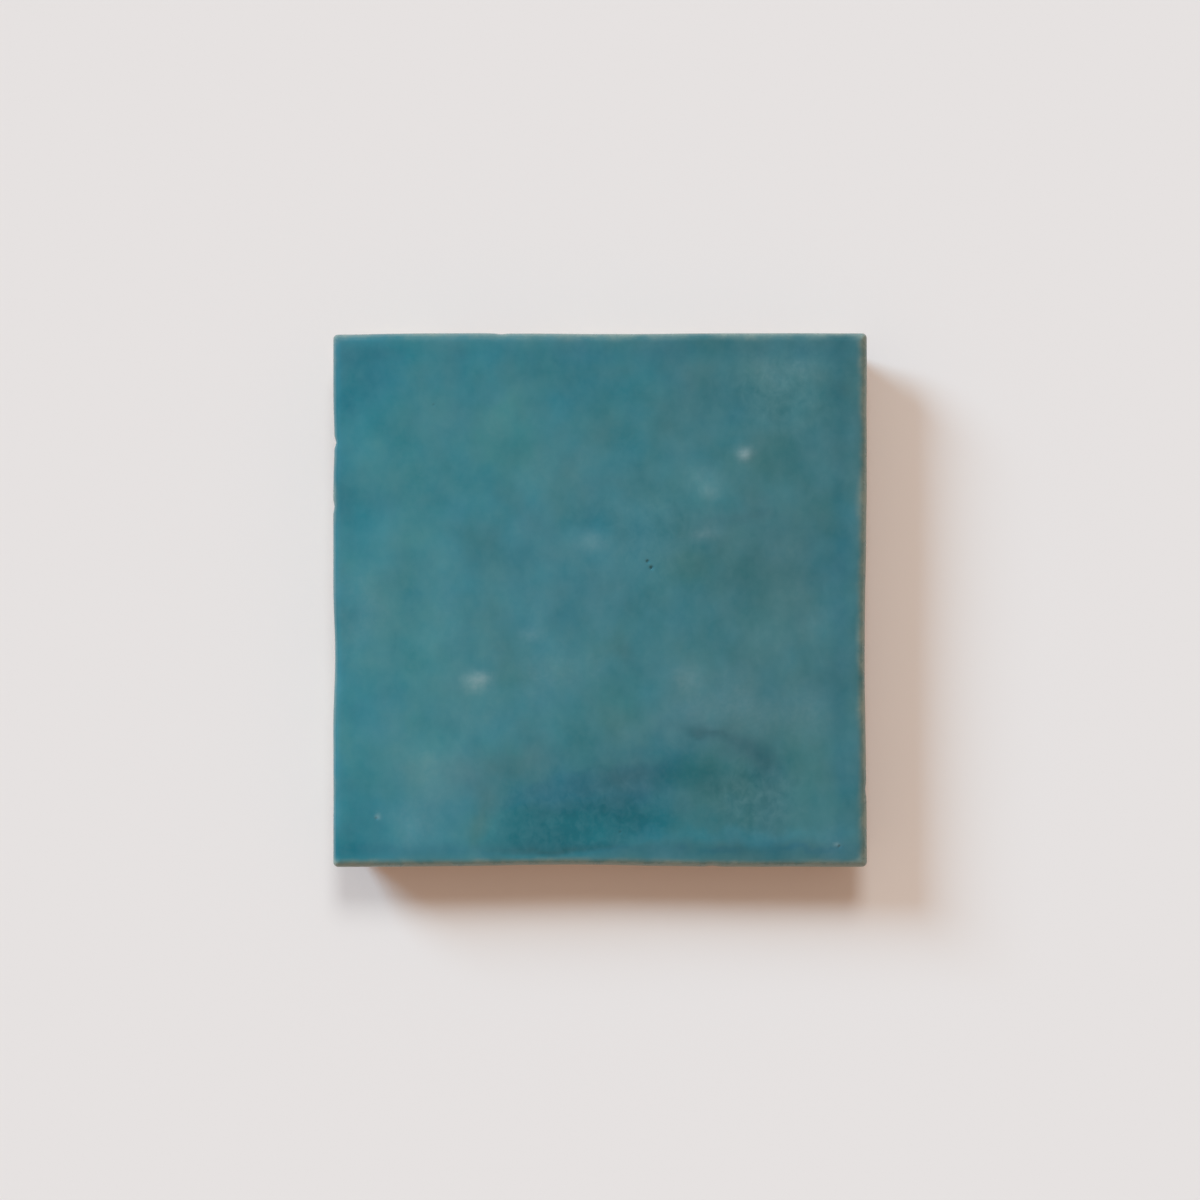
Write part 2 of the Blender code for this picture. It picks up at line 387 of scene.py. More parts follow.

# %% [markdown]
# ## How the glaze lies
# Glaze is coloured glass. Where it lies thick it is a deep blue-teal, where it is thin the buff clay
# greys it. A few values make up its look, and each is kept on the mesh as an attribute: how deep it
# lies, how far iron from the clay has warmed its blue to grey, how green it is, how milky, with painted
# glints kept in the same value, how curdled, that is to say how pebbly it looks from close by, and how
# bare the clay lies where the glaze broke over the rim. Deep bands lie just inside the rim, the left
# edge is the bluest and the right half the warmest. The rest is a list of patches, placed to match the
# photograph: large ones that change the depth and colour, curdled ones, and milky spots, whose milk on
# the low pimples is partly a painted highlight. A spot whose milk is below nothing is clear glaze, and
# the two tiny ones are painted glints beside pinholes near the lower corners.

# %% Patches of the glaze, in millimetres from the middle of the face
Patch = namedtuple("Patch", "x y long wide turn crisp depth warmth green")
PATCHES = {
    "wide hollow": Patch(1, -38, 21, 8.5, 4, 1.5, 0.14, -0.10, 0.1),
    "pool": Patch(-4.5, -42.5, 16, 5.5, 6, 3, 0.08, -0.88, 0.5),
    "pool's purple bank": Patch(-2.5, -36.0, 17, 4.4, 9, 3, 0.12, -0.15, -0.50),
    "pool's low left": Patch(-14, -43, 8, 5, 0, 1.5, 0.12, -0.25, 0.7),
    "pool's right end": Patch(7, -39.5, 8, 4.5, 15, 2, 0.10, -0.35, 0.0),
    "pool's blue end": Patch(7.5, -43.3, 2.6, 1.5, 0, 1, -0.03, -0.50, -0.4),
    "pool's teal shore": Patch(-9, -45.0, 13, 2.0, 0, 1.5, 0.00, -0.45, 0.8),
    "pool's lower streak": Patch(-7, -46.6, 13, 0.8, 0, 1, 0.20, -0.40, -0.2),
    "pool's upper border": Patch(-2, -34.6, 8, 1.3, 8, 1, 0.06, 0.00, -0.2),
    "streak above": Patch(9.0, -31.8, 5.0, 2.0, 14, 1, 0.11, -0.05, -0.2),
    "small pool above": Patch(7, -28.5, 2.6, 1.2, 0, 1, 0.10, -0.35, 0.0),
    "olive field": Patch(21.5, -33.6, 8, 3.6, -4, 1.5, 0.12, -0.05, 0.9),
    "speckled field": Patch(30, -37, 5, 5, 0, 1.5, 0.06, 0.00, 0.3),
    "crescent's start": Patch(19.5, -24.4, 4.5, 0.9, -14, 1, 0.22, 0.20, -0.3),
    "crescent": Patch(26.5, -27.2, 5.2, 2.6, -24, 1.2, 0.19, 0.20, -0.4),
    "crescent's end": Patch(31.0, -30.4, 3.6, 3.0, -50, 1, 0.16, 0.05, -0.2),
    "pink field": Patch(15.5, -24.5, 5, 4.6, 20, 1.3, -0.07, 0.35, -0.9),
    "cream right": Patch(39, -27, 5, 7, 0, 1, -0.05, 0.10, 0.5),
    "olive right low": Patch(40, -38, 6, 8, 0, 1.3, 0.00, -0.10, 0.5),
    "rusty field": Patch(30, 1, 8, 7, 0, 1.5, -0.01, 0.25, 0.2),
    "olive beside it": Patch(18, 6, 4, 3.5, 20, 1, 0.03, 0.05, 0.8),
    "olive high": Patch(0, 32, 3.5, 5, 0, 1.3, 0.00, 0.25, 0.3),
    "grey-green high": Patch(-18, 32, 6, 6, 0, 1.5, 0.00, -0.10, 0.8),
    "olive right high": Patch(33, 27, 7, 6, 0, 1, 0.03, 0.00, 0.4),
    "tan right high": Patch(34, 41, 8, 6, 0, 1.3, 0.00, -0.05, 0.3),
    "olive by the spot": Patch(-16.5, -16, 3, 4, 0, 1, 0.02, 0.15, 0.5),
    "olive low": Patch(2.5, -19, 4, 5, 0, 1, 0.01, 0.00, 0.8),
    "dark olive": Patch(3, -8, 3, 2.5, 0, 1, 0.05, 0.10, 0.4),
    "lavender middle": Patch(-8, 4, 13, 12, 0, 1.3, -0.01, 0.10, -0.5),
    "lavender low": Patch(-28, -33, 9, 6, -35, 1, -0.07, 0.25, -0.5),
    "pool's pale bank": Patch(-22.5, -42, 1.6, 5.5, -14, 1, 0.03, 0.35, 0.4),
    "low right blue": Patch(28, -44.2, 17, 1.6, 0, 1.5, -0.04, -0.35, -0.3),
    "low left blue": Patch(-43, -42, 8, 6, 0, 1.3, 0.09, -0.42, -0.2),
    "high left blue": Patch(-44, 42, 7, 7, 0, 1.3, 0.12, -0.48, -0.2),
    "left blue": Patch(-48, 18, 3, 8, 0, 1, 0.06, -0.15, 0.0),
    "upper left": Patch(-26, 26, 13, 12, 0, 1, 0.02, -0.15, 0.0),
    "above the pool's left": Patch(-15, -31, 9, 3.5, 8, 1, 0.01, 0.55, -0.2),
    "warm by the middle": Patch(-21, 10, 5, 5, 0, 1, 0.00, 0.30, 0.0),
    "blue high": Patch(10, 43, 5, 5, 0, 1, 0.02, -0.40, 0.0),
    "right edge's middle": Patch(43, 0, 4, 9, 0, 1, 0.00, -0.40, 0.0),
    "cool right high": Patch(37, 34, 8, 10, 0, 1, -0.04, -0.10, 0.0),
    "high band": Patch(-22, 43, 15, 4.5, 0, 1.3, 0.05, 0.00, 0.0),
    "blue-grey high": Patch(8, 34, 5, 7, 0, 1, -0.03, -0.20, 0.0),
    "cool field": Patch(16, -42, 8, 5, 0, 1, 0.00, -0.30, 0.2),
    "cool by the spots": Patch(20, 21, 5, 3.5, 0, 1, -0.06, -0.40, 0.0),
    "small teal": Patch(25, 34, 2.2, 2.8, -30, 1, 0.09, -0.45, 0.0),
    "teal over the spot": Patch(24.5, 29.5, 1.8, 1.6, 0, 1, 0.05, -0.40, 0.0),
    "dark line": Patch(27.5, 15.2, 6, 1.0, 3, 1, 0.08, 0.05, -0.2),
    "first dash": Patch(16, -46.7, 1.2, 0.50, 0, 1, 0.26, -0.70, -0.2),
    "second dash": Patch(22.5, -46.9, 3.0, 0.55, 2, 1, 0.22, -0.70, -0.2),
    "third dash": Patch(39, -46.6, 6.5, 0.55, 0, 1.5, 0.18, -0.70, -0.2),
    "pale band": Patch(-33, -29, 6, 4.5, -35, 1, -0.08, -0.10, 0.0),
    "pale cheek": Patch(-36, 0, 8, 14, 0, 1, 0.01, 0.12, 0.0),
    "mottled corner": Patch(37, 42, 6, 4.5, 0, 1, -0.08, 0.05, 0.0),
    "right low field": Patch(41, -38, 5, 6, 0, 1, -0.04, -0.10, 0.0),
}
Curd = namedtuple("Curd", "x y long wide turn crisp amount")
CURDS = [
    Curd(-3.5, -40, 17, 8, 8, 2, 0.45),
    Curd(29, -37, 7, 6, 0, 1.5, 0.75),
    Curd(34, 39, 8, 6, 0, 1, 0.60),
    Curd(10, 12, 10, 9, 0, 1, 0.25),
]
USUAL_CURD = 0.20
Spot = namedtuple("Spot", "x y long wide turn crisp haze rise")
SPOTS = [
    # The spots that rise are the grit's low pimples; their milk is partly milky glaze and partly a painted
    # highlight that such a bump catches.
    Spot(-23.4, -15.2, 2.4, 1.9, 8, 1, 0.23, 0.08),
    Spot(-22.0, -14.3, 1.4, 1.0, 0, 1, 0.12, 0.02),
    Spot(27.3, 27.1, 1.3, 1.1, 20, 1, 0.28, 0.09),
    Spot(26.2, 27.9, 1.5, 1.2, 0, 1, 0.10, 0.00),
    Spot(20.4, 20.2, 1.8, 1.3, 0, 1, 0.10, 0.05),
    Spot(19.8, 22.2, 3.2, 2.6, 0, 1, 0.07, 0.02),
    Spot(19.3, 12.3, 2.4, 0.9, 4, 1, 0.09, 0.03),
    Spot(-2, 11, 2.8, 2.0, 0, 1, 0.11, 0.04),
    Spot(-12.6, -6.5, 2.2, 1.7, 0, 1, 0.06, 0.03),
    Spot(15.7, -14.4, 3.6, 2.6, 0, 1, 0.065, 0.02),
    Spot(36.5, 43.5, 3.0, 1.5, 0, 1, 0.05, 0.02),
    Spot(25, -20, 10, 5.0, -5, 1, 0.09, 0.0),
    Spot(40, -19, 5, 6, 0, 1, 0.04, 0.0),
    Spot(36, 0, 6, 6, 0, 1, 0.03, 0.0),
    Spot(-10, -12, 6, 6, 0, 1, 0.05, 0.0),
    Spot(-43, -1, 5, 9, 0, 1, 0.06, 0.0),
    Spot(-32, -42, 6, 5, 0, 1, 0.06, 0.0),
    Spot(33, 42, 7, 5, 0, 1, 0.05, 0.0),
    Spot(10, 0, 6, 12, 0, 1, -0.035, 0.0),
    Spot(-14, 43, 18, 5, 0, 1, -0.03, 0.0),
    Spot(10, 42, 5, 5, 0, 1, -0.03, 0.0),
    Spot(-44, 42, 6, 6, 0, 1, -0.02, 0.0),
    # These two spots are painted glints: a pale milky tone stands in for the light caught beside two
    # pinholes.
    Spot(-41.4, -40.5, 0.55, 0.45, 0, 1, 0.20, 0.0),
    Spot(44.3, -45.6, 0.55, 0.45, 0, 1, 0.18, 0.0),
    Spot(16, -42, 9, 5, 0, 1, -0.035, 0.0),
    Spot(16, -32, 8, 4, 0, 1, -0.045, 0.0),
    Spot(-6, -43, 14, 4.5, 6, 2, -0.030, 0.0),
    Spot(0, -21, 4, 5, 0, 1, 0.03, 0.0),
    Spot(42, -42, 5, 5, 0, 1, 0.045, 0.0),
]
SPOT_THINNING = 0.45
SPOT_STEADINESS = 3


def patch_share(patch, x, y):
    """How much of a patch lies at a place: an oval, whose border is sharper where it is crisp."""
    turn = math.radians(patch.turn)
    off_x = x / MM - patch.x
    off_y = y / MM - patch.y
    along = (off_x * math.cos(turn) + off_y * math.sin(turn)) / patch.long
    across = (off_y * math.cos(turn) - off_x * math.sin(turn)) / patch.wide
    return math.exp(-((along**2 + across**2) ** patch.crisp))


print(len(PATCHES), "patches,", len(CURDS), "curdled ones and", len(SPOTS), "spots")

# %% The bands inside the rim, and how the glaze thins out over the rim itself
# Along each side lies a band with a depth and warmth of its own, at a place and with a reach in mm from
# the edge. The edge itself has one more change of depth. The glaze covers the clay fully from covered
# inwards and not at all at uncovered, which lies outside the edge where it is below nothing.
Band = namedtuple("Band", "place reach depth warmth rim_depth uncovered covered")
BANDS = {
    "left": Band(3.0, 5.5, 0.05, -0.42, 0.12, -2.0, 1.9),
    "right": Band(5.0, 1.7, 0.08, -0.25, 0.00, -0.9, 3.0),
    "back": Band(3.8, 2.2, 0.08, -0.32, 0.10, -2.0, 2.9),
    "front": Band(3.1, 1.6, 0.16, -0.20, -0.09, -0.3, 2.4),
}
RIM_UNEVEN = ((12 * MM, 0.22), (3 * MM, 0.10))
RIM_REACH = 1.6 * MM
RIM_WARMTH = 0.45


def side_gaps(x, y):
    """How far in from each side a place lies."""
    return {
        "left": FACE_WIDTH / 2 + x,
        "right": FACE_WIDTH / 2 - x,
        "back": FACE_LENGTH / 2 - y,
        "front": FACE_LENGTH / 2 + y,
    }


def edge_gap(x, y):
    """How far in from the nearest side a place lies."""
    return min(side_gaps(x, y).values())


# %% The values at each place of the face
LEFT_DEPTH, RIGHT_DEPTH = 0.38, 0.57
LEFT_WARMTH, RIGHT_WARMTH = 0.42, 0.90
WARMING = (0.35, 0.80)
USUAL_GREEN = 0.42
CLOUD_SIZE = 15 * MM
CLOUD_DEPTH = 0.06
CLOUD_WARMTH = 0.20
WANDER_SIZE = 7 * MM
WANDER = 1.5 * MM
FINE_WANDER_SIZE = 1.8 * MM
FINE_WANDER = 0.35 * MM
Glaze = namedtuple("Glaze", "depth warmth green haze curd bare")


def wandered(place, x, y, way):
    """One of a place's two distances, moved a little, so that the borders of patches wander."""
    wide = WANDER * clouds(x, y, 0, WANDER_SIZE, "wander " + way)
    fine = FINE_WANDER * clouds(x, y, 0, FINE_WANDER_SIZE, "fine wander " + way)
    return place + wide + fine


def glaze_at(x, y):
    """The look of the glaze at a place of the face."""
    drift_x = wandered(x, x, y, "x")
    drift_y = wandered(y, x, y, "y")
    across = x / FACE_WIDTH + 0.5
    depth = LEFT_DEPTH + (RIGHT_DEPTH - LEFT_DEPTH) * across
    depth += CLOUD_DEPTH * clouds(x, y, 0, CLOUD_SIZE, "depth")
    warmth = LEFT_WARMTH + (RIGHT_WARMTH - LEFT_WARMTH) * ease(across, *WARMING)
    warmth += CLOUD_WARMTH * clouds(x, y, 0, CLOUD_SIZE, "warmth")
    green = USUAL_GREEN
    for patch in PATCHES.values():
        share = patch_share(patch, drift_x, drift_y)
        depth += patch.depth * share
        warmth += patch.warmth * share
        green += patch.green * share
    haze = 0.0
    for spot in SPOTS:
        steady_x = x + (drift_x - x) / SPOT_STEADINESS
        steady_y = y + (drift_y - y) / SPOT_STEADINESS
        share = patch_share(spot, steady_x, steady_y)
        haze += spot.haze * share
        depth -= spot.haze * SPOT_THINNING * share
    curd = USUAL_CURD + sum(curd.amount * patch_share(curd, drift_x, drift_y) for curd in CURDS)
    uneven = 1 + sum(amount * clouds(x, y, 0, size, "cover") for size, amount in RIM_UNEVEN)
    cover = 1.0
    for side, gap in side_gaps(x, y).items():
        band = BANDS[side]
        share = bell(gap - band.place * MM, band.reach * MM)
        depth += band.depth * share + band.rim_depth * bell(gap, RIM_REACH)
        warmth += band.warmth * share
        cover *= ease(gap, band.uncovered * MM, band.covered * uneven * MM)
    warmth += RIM_WARMTH * bell(edge_gap(x, y), RIM_REACH)
    return Glaze(depth, warmth, green, haze * cover, curd * cover, 1 - cover)


middle_glaze = {name: round(value, 2) for name, value in glaze_at(0, 0)._asdict().items()}
print("glaze in the middle of the face:", middle_glaze)

# %% [markdown]
# ## The face
# The clay was pressed by hand, so the face is a low crown with swells and hollows a few tenths of a
# millimetre high. The molten glaze smoothed what was small and left faint ripples. It drew back a
# little from the rim and left a bead there, and grains of grit lift it into low pimples, whose milk is
# partly milky glaze and partly a painted highlight. Gas that came out of the clay late left pinholes,
# whose glaze is made deeper and darker, partly as pooled glaze and partly as painted shade. At the rim
# the face rolls over in a quarter of an ellipse. All of it stays a little below the solid's highest point.

# %% Height of the face
FACE_FALL = 0.3 * MM
RIM_DROP = 1.7 * MM
RIM_WIDTH_UNEVEN = 0.22
RIM_WIDTH_SIZE = 13 * MM
SWELL_HEIGHT = 0.3 * MM
SWELL_REACH = 15 * MM
RIPPLES = ((10 * MM, 0.060 * MM), (4.5 * MM, 0.016 * MM), (2.0 * MM, 0.003 * MM))
RIPPLE_LEVEL = 5.5
BEAD_PLACE = 2.4 * MM
BEAD_REACH = 1.1 * MM
BEAD_HEIGHT = 0.05 * MM
POOL_SINK = 0.10 * MM
USUAL_DEPTH = 0.48
Swell = namedtuple("Swell", "x y height width")
SWELLS = [
    Swell(-0.45, 0.55, 0.7, 1.4),
    Swell(0.35, 0.30, 0.8, 1.2),
    Swell(-0.50, -0.25, 0.6, 1.0),
    Swell(0.62, -0.30, 0.7, 1.1),
    Swell(-0.07, -0.80, -1.0, 1.0),
    Swell(0.10, 0.72, -0.5, 1.1),
    Swell(-0.82, -0.80, -0.6, 0.7),
    Swell(0.15, -0.15, -0.4, 0.9),
]
Pinhole = namedtuple("Pinhole", "x y radius depth")
PINHOLES = [
    Pinhole(8.9, 7.2, 0.26, 0.24),
    Pinhole(9.6, 6.0, 0.30, 0.28),
    Pinhole(44.7, -46.0, 0.24, 0.16),
    Pinhole(-41.7, -40.8, 0.22, 0.10),
    Pinhole(3.8, -43.5, 0.20, 0.10),
    Pinhole(-31.0, 36.4, 0.18, 0.08),
]
# How much deeper, and so darker, the glaze in a pinhole is made: partly pooled glaze, partly painted shade
# in the pit.
PINHOLE_POOL_AND_SHADE = 1.6


def off_pinhole(hole, x, y):
    """How many millimetres a place lies from the middle of a pinhole."""
    return math.hypot(x / MM - hole.x, y / MM - hole.y)


def pinhole_share(x, y):
    """How deep in the nearest pinhole a place lies, as a share, and that pinhole."""
    hole = min(PINHOLES, key=lambda hole: off_pinhole(hole, x, y))
    return bell(off_pinhole(hole, x, y), hole.radius), hole


def face_height(x, y):
    """Height of the glazed face without its rim."""
    share_x = x / (FACE_WIDTH / 2)
    share_y = y / (FACE_LENGTH / 2)
    height = FACE_LEVEL - FACE_FALL * (share_x**2 + share_y**2) / 2
    for swell in SWELLS:
        distance = math.hypot(x - swell.x * FACE_WIDTH / 2, y - swell.y * FACE_LENGTH / 2)
        height += SWELL_HEIGHT * swell.height * bell(distance, SWELL_REACH * swell.width)
    for spot in SPOTS:
        height += spot.rise * MM * patch_share(spot, x, y)
    for size, ripple in RIPPLES:
        height += ripple * noise.noise(Vector((x / size, y / size, RIPPLE_LEVEL)))
    height += BEAD_HEIGHT * bell(edge_gap(x, y) - BEAD_PLACE, BEAD_REACH)
    return height


def edge_fall(depth, width, drop):
    """How far a rounded edge has fallen at a depth in from the outline: a quarter ellipse."""
    outward = max(0.0, 1 - depth / width)
    return drop * (1 - math.sqrt(1 - outward**2))


def place_on_face(share_x, share_y):
    """Place of a point of the net's top, and the glaze there."""
    x = line_place(share_x, FACE_WIDTH / 2, RIM_WIDTH)
    y = line_place(share_y, FACE_LENGTH / 2, RIM_WIDTH)
    glaze = glaze_at(x, y)
    width = RIM_WIDTH * (1 + RIM_WIDTH_UNEVEN * (clouds(x, y, 0, RIM_WIDTH_SIZE, "rim width") - 1) / 2)
    height = face_height(x, y) - edge_fall(edge_gap(x, y), width, RIM_DROP)
    height -= POOL_SINK * max(0.0, glaze.depth - USUAL_DEPTH)
    share, hole = pinhole_share(x, y)
    height -= hole.depth * MM * share
    plan = push_sides(*round_corner(x, y, FACE_WIDTH / 2, FACE_LENGTH / 2))
    # Deeper, darker glaze in the pinhole: pooled glaze, and painted shade in the pit.
    glaze = glaze._replace(depth=glaze.depth + PINHOLE_POOL_AND_SHADE * hole.depth * share)
    return Vector((*plan, height)), glaze


print("the rim's widest line is", round(place_on_face(1, 0)[0].z / MM, 2), "mm high on the right")

# %% [markdown]
# ## Sides and bed
# The knife was held at a slant, so that the faces of two tiles can touch while mortar fills the gap
# below: each side draws in by some 2 mm from the rim to the foot. The glaze broke over the rim's crest
# and ran a little way down, thin in places, as a skirt with a rounded lip that sags. Below it the clay is
# bare. The blade dragged grit along, which left long fine lines and torn spots, and the foot is worn and
# chipped. The bed was pressed on a board strewn with sand. It rests flat, with shallow hollows between.

# %% The wavy line where the glaze ends
GLAZE_RUN = 1.6 * MM
RUN_WAVE = 0.4 * MM
RUN_WAVE_LENGTH = 21 * MM
CUT_WAVE_LENGTH = 34 * MM
RUN_SAG = 0.35 * MM
RUN_SAG_SIZE = 4.5 * MM


def glaze_end(x, y):
    """Height of the wavy line where the glaze ends on the side."""
    level = FACE_LEVEL - FACE_FALL - RIM_DROP - GLAZE_RUN
    short_wave = math.sin(2 * math.pi * (x + y) / RUN_WAVE_LENGTH)
    long_wave = math.sin(2 * math.pi * (x - y) / CUT_WAVE_LENGTH)
    return level + RUN_WAVE * (short_wave + long_wave) / 2 + RUN_SAG * clouds(x, y, 0, RUN_SAG_SIZE, "sag")


print("the glaze ends", round(glaze_end(FACE_WIDTH / 2, 0) / MM, 2), "mm above the board on the right")

# %% The skirt of glaze below the rim, and its lip
GLAZE_LIP = 0.3 * MM
SKIRT_ROWS = 6
SKIRT_HOLLOW = 0.14 * MM
SKIRT_GLAZE = 0.42
SKIRT_UNEVEN = 0.50
SKIRT_BREAKS = 0.9
SKIRT_CREEP = 3
LIP_ROWS = 3
LIP_GLAZE = 0.88
LIP_WARMTH = 1.0
SidePoint = namedtuple("SidePoint", "place depth warmth bare hollow stain")


def draw_in(top, distance, height):
    """A point below the rim, moved in towards the middle by a distance."""
    return Vector((
        top.x * (1 - distance / (FACE_WIDTH / 2)),
        top.y * (1 - distance / (FACE_LENGTH / 2)),
        height,
    ))


def place_on_skirt(top, glaze, lip_top, row):
    """A point of the glaze that ran down from the rim.

    The rim's own look fades out on the way down and the lip's comes in. Between them the glaze lies
    uneven, and breaks open where it is thinnest.
    """
    share = row / SKIRT_ROWS
    middle = math.sin(math.pi * share)
    uneven = clouds(top.x, top.y, SKIRT_CREEP * share * MM, RUN_SAG_SIZE, "skirt")
    run = (SKIRT_GLAZE + SKIRT_UNEVEN * uneven) * (1 - share**3) + LIP_GLAZE * share**3
    depth = glaze.depth * (1 - share) ** 2 + run * (1 - (1 - share) ** 2)
    bare = glaze.bare * (1 - share) ** 3 + middle * max(0.0, -SKIRT_BREAKS * uneven)
    warmth = glaze.warmth * (1 - share) + LIP_WARMTH * share
    height = top.z * (1 - share) + lip_top * share
    place = draw_in(top, SKIRT_HOLLOW * middle, height)
    return SidePoint(place, depth, warmth, bare, 0.0, 0.0)


def place_on_lip(top, lip_top, row):
    """A point of the rounded lip, in which the glaze ends."""
    turn = math.pi / 2 * row / LIP_ROWS
    height = lip_top - GLAZE_LIP * math.sin(turn)
    place = draw_in(top, GLAZE_LIP * (1 - math.cos(turn)), height)
    return SidePoint(place, LIP_GLAZE, LIP_WARMTH, 0.0, 0.0, 1.0)


# %% The clay side, with the knife's marks and the chips of the foot
CUT_WAVE = 0.2 * MM
UNDERCUT = 2.0 * MM
DRAG_LENGTH = 14 * MM
DRAG_PITCH = 0.9 * MM
DRAG_DEPTH = 0.14 * MM
DRAG_LAYERS = (0.7, 2.1, 3)
FACET_SIZE = 7 * MM
FACET_DEPTH = 0.22 * MM
TEAR_SIZE = 2.6 * MM
TEAR_DEPTH = 0.40 * MM
TEAR_FLATNESS = 1.7
TEAR_SEED = 9
TEAR_SPAN = (0.30, 0.62)
CHIP_SIZE = 5 * MM
CHIP_DEPTH = 0.9 * MM
CHIP_SPAN = (0.20, 0.75)
CRUMB_SIZE = 1.3 * MM
CRUMB_DEPTH = 0.12 * MM
FOOT_WEAR = 0.6 * MM
STAIN_DROP = 1.2 * MM
# How far down the clay the knife's marks begin, where they fade again, and where the chips begin
MARKS_BEGIN, MARKS_FADE, CHIPS_BEGIN = 0.12, 0.85, 0.72
CLAY_ROWS = SIDE_ROWS - SKIRT_ROWS - LIP_ROWS


def cut_depth(x, y, share):
    """How far the clay side is drawn in below the glaze, down a share of its height."""
    unevenness = math.sin(2 * math.pi * (x - y) / CUT_WAVE_LENGTH)
    return GLAZE_LIP + UNDERCUT * share + CUT_WAVE * unevenness * math.sin(math.pi * share)


def knife_marks(x, y, z):
    """How deep the knife's marks are at a place of a side, and how torn the clay is there."""
    drag = noise.fractal(Vector((x / DRAG_LENGTH, y / DRAG_LENGTH, z / DRAG_PITCH)), *DRAG_LAYERS)
    facet = clouds(x, y, z, FACET_SIZE, "facet")
    tear = Vector((x / TEAR_SIZE, y / TEAR_SIZE, TEAR_FLATNESS * z / TEAR_SIZE + TEAR_SEED))
    torn = ease(noise.noise(tear), *TEAR_SPAN)
    crumb = clouds(x, y, z, CRUMB_SIZE, "crumb")
    marks = DRAG_DEPTH * (1 + drag) / 2 + FACET_DEPTH * (1 + facet) / 2 + CRUMB_DEPTH * (1 + crumb) / 2
    return marks + TEAR_DEPTH * torn, torn


def foot_chip(x, y):
    """How far the foot is chipped away at a place along the outline. Chips are half as high as deep."""
    return CHIP_DEPTH * ease(clouds(x, y, 0, CHIP_SIZE, "chip"), *CHIP_SPAN)


def place_on_clay(top, end, row):
    """A point of the bare clay below the lip, stained where the glaze soaked in."""
    share = row / CLAY_ROWS
    chip = foot_chip(top.x, top.y)
    height = end * (1 - share) + (FOOT_WEAR + chip / 2) * share
    marks, torn = knife_marks(top.x, top.y, height)
    fade = ease(share, 0.0, MARKS_BEGIN) * (1 - ease(share, MARKS_FADE, 1.0))
    distance = cut_depth(top.x, top.y, share) + marks * fade + chip * ease(share, CHIPS_BEGIN, 1.0)
    stain = 1 - ease(end - height, 0.0, STAIN_DROP)
    return SidePoint(draw_in(top, distance, height), 0.0, 0.0, 0.0, torn * fade, stain)


print("the foot is drawn in by", round(cut_depth(FACE_WIDTH / 2, 0, 1.0) / MM, 2), "mm, more at a chip")

# %% Place of each point of a side
def place_on_side(share_x, share_y, row):
    """A point of the net's sides, in a row counted down from the rim's widest line."""
    top, glaze = place_on_face(share_x, share_y)
    end = glaze_end(top.x, top.y)
    if row <= SKIRT_ROWS:
        return place_on_skirt(top, glaze, end + GLAZE_LIP, row)
    if row <= SKIRT_ROWS + LIP_ROWS:
        return place_on_lip(top, end + GLAZE_LIP, row - SKIRT_ROWS)
    return place_on_clay(top, end, row - SKIRT_ROWS - LIP_ROWS)


lip = place_on_side(1, 0, SKIRT_ROWS + LIP_ROWS).place
print("the lip's underside is", round(lip.z / MM, 2), "mm high on the right")

# %% Place of each point of the bed
BED_HOLLOW = 0.25 * MM
BED_HOLLOW_SIZE = 11 * MM
BED_HOLLOW_SPAN = (-0.1, 0.9)
BED_GRIT = 0.05 * MM
BED_GRIT_SIZE = 1.6 * MM
BED_MARGIN = 3 * MM


def place_on_bed(share_x, share_y):
    """A point of the net's underside: flat with shallow hollows, and rounded at the foot."""
    x = line_place(share_x, FACE_WIDTH / 2, FOOT_WEAR)
    y = line_place(share_y, FACE_LENGTH / 2, FOOT_WEAR)
    gap = edge_gap(x, y)
    plan = push_sides(*round_corner(x, y, FACE_WIDTH / 2, FACE_LENGTH / 2))
    chip = foot_chip(*plan)
    inside = ease(gap, 0.0, BED_MARGIN)
    hollow = inside * ease(clouds(x, y, 0, BED_HOLLOW_SIZE, "bed hollow"), *BED_HOLLOW_SPAN)
    grit = inside * max(0.0, clouds(x, y, 0, BED_GRIT_SIZE, "bed grit"))
    wear = edge_fall(gap, FOOT_WEAR + chip, FOOT_WEAR + chip / 2)
    height = wear + BED_HOLLOW * hollow + BED_GRIT * grit
    distance = GLAZE_LIP + UNDERCUT + chip * (1 - ease(gap, 0.0, 2 * BED_MARGIN))
    return SidePoint(draw_in(Vector((*plan, 0.0)), distance, height), 0.0, 0.0, 0.0, hollow, 0.0)


print("the bed's middle is", round(place_on_bed(0, 0).place.z / MM, 2), "mm above the board")

# %% Cut the net finer round each pinhole
PINHOLE_NET = (1.6, 0.8)
BLOCK_TOP = 0.499


def cut_finer(bm):
    """Halves the net's edges round each pinhole, and halves them again close to it."""
    for reach in PINHOLE_NET:
        near = set()
        for vert in bm.verts:
            if vert.co.z > BLOCK_TOP:
                x = line_place(2 * vert.co.x, FACE_WIDTH / 2, RIM_WIDTH)
                y = line_place(2 * vert.co.y, FACE_LENGTH / 2, RIM_WIDTH)
                if any(off_pinhole(hole, x, y) < reach for hole in PINHOLES):
                    near.add(vert)
        edges = [edge for edge in bm.edges if edge.verts[0] in near and edge.verts[1] in near]
        bmesh.ops.subdivide_edges(bm, edges=edges, cuts=1, use_grid_fill=True)


cut_finer(block)
print("with the pinholes:", len(block.faces), "faces")

# %% Carry the net to its place
GLAZED, BARE = 0, 1


